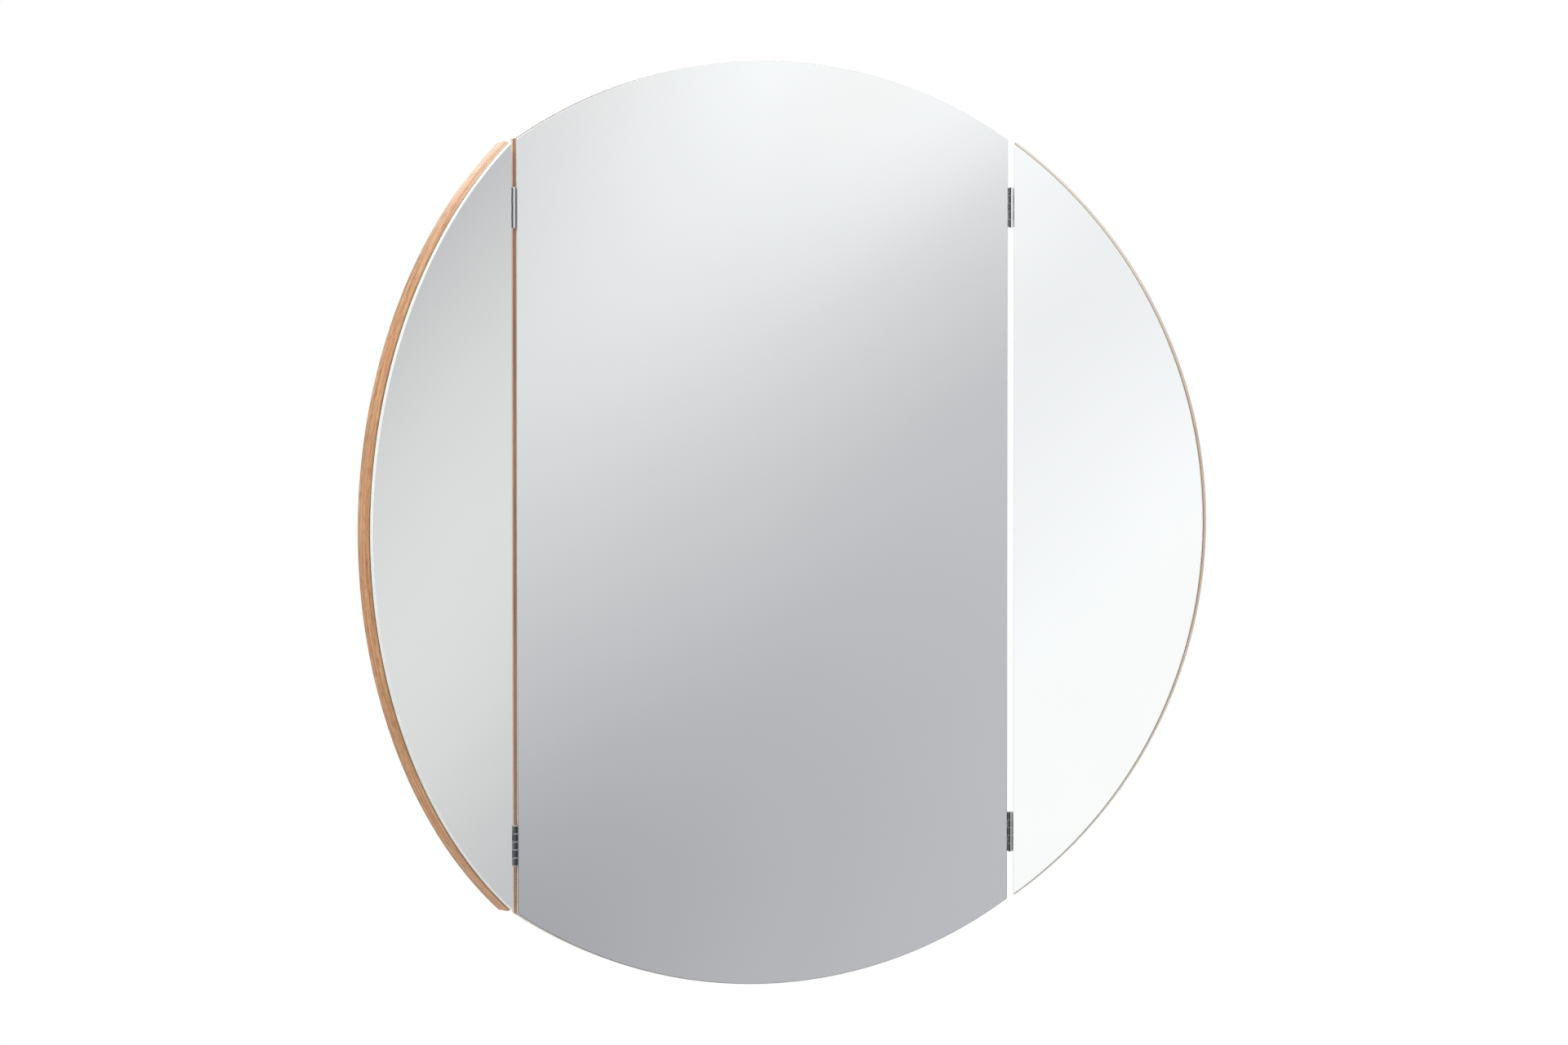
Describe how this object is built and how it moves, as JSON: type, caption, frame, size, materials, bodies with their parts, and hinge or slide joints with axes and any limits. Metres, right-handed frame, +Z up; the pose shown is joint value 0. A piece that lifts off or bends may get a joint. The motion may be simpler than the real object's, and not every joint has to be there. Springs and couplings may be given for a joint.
{
  "type": "folding wall mirror",
  "caption": "Round wall mirror cut into upright wood-backed panels; the side wings fold forward on steel butt hinges and keyhole plates in the back hang it on a wall.",
  "frame": {"origin": "middle of the round outline, on the centre board's back face, which lies on the wall", "axes": "+X to the right of a person facing the mirror, +Y back into the wall, +Z up"},
  "size_m": [0.6666, 0.0894, 0.7],
  "materials": {
    "board_veneer": "satin veneer",
    "edge_wood": "satin lacquer",
    "mirror_glass": "silvered float glass",
    "bonding_tape": "matt",
    "hinge_steel": "bright nickel",
    "hanger_steel": "zinc plated",
    "screw_steel": "zinc plated"
  },
  "bodies": {
    "center": {"center_board": "board_veneer", "center_top_edge_band": "edge_wood", "center_bottom_edge_band": "edge_wood", "center_left_edge_band": "edge_wood", "center_right_edge_band": "edge_wood", "center_mirror": "mirror_glass", "center_mirror_tape": "bonding_tape", "center_hinge_screws": "screw_steel", "left_hanger_plate": "hanger_steel", "right_hanger_plate": "hanger_steel", "hanger_screws": "screw_steel", "left_upper_hinge_center_leaf": "hinge_steel", "left_lower_hinge_center_leaf": "hinge_steel", "right_upper_hinge_center_leaf": "hinge_steel", "right_lower_hinge_center_leaf": "hinge_steel", "left_upper_hinge_pin": "hinge_steel", "left_lower_hinge_pin": "hinge_steel", "right_upper_hinge_pin": "hinge_steel", "right_lower_hinge_pin": "hinge_steel"},
    "left_wing": {"left_wing_board": "board_veneer", "left_wing_rim_edge_band": "edge_wood", "left_wing_inner_edge_band": "edge_wood", "left_wing_mirror": "mirror_glass", "left_wing_mirror_tape": "bonding_tape", "left_wing_hinge_screws": "screw_steel", "left_upper_hinge_wing_leaf": "hinge_steel", "left_lower_hinge_wing_leaf": "hinge_steel"},
    "right_wing": {"right_wing_board": "board_veneer", "right_wing_rim_edge_band": "edge_wood", "right_wing_inner_edge_band": "edge_wood", "right_wing_mirror": "mirror_glass", "right_wing_mirror_tape": "bonding_tape", "right_wing_hinge_screws": "screw_steel", "right_upper_hinge_wing_leaf": "hinge_steel", "right_lower_hinge_wing_leaf": "hinge_steel"}
  },
  "joints": [
    {"name": "left_wing_fold", "type": "hinge", "parent": "center", "child": "left_wing", "pos_m": [-0.1967, -0.016, 0], "axis": [0, 0, 1], "range_deg": [-30, 150]},
    {"name": "right_wing_fold", "type": "hinge", "parent": "center", "child": "right_wing", "pos_m": [0.1967, -0.016, 0], "axis": [0, 0, -1], "range_deg": [-30, 150]}
  ]
}
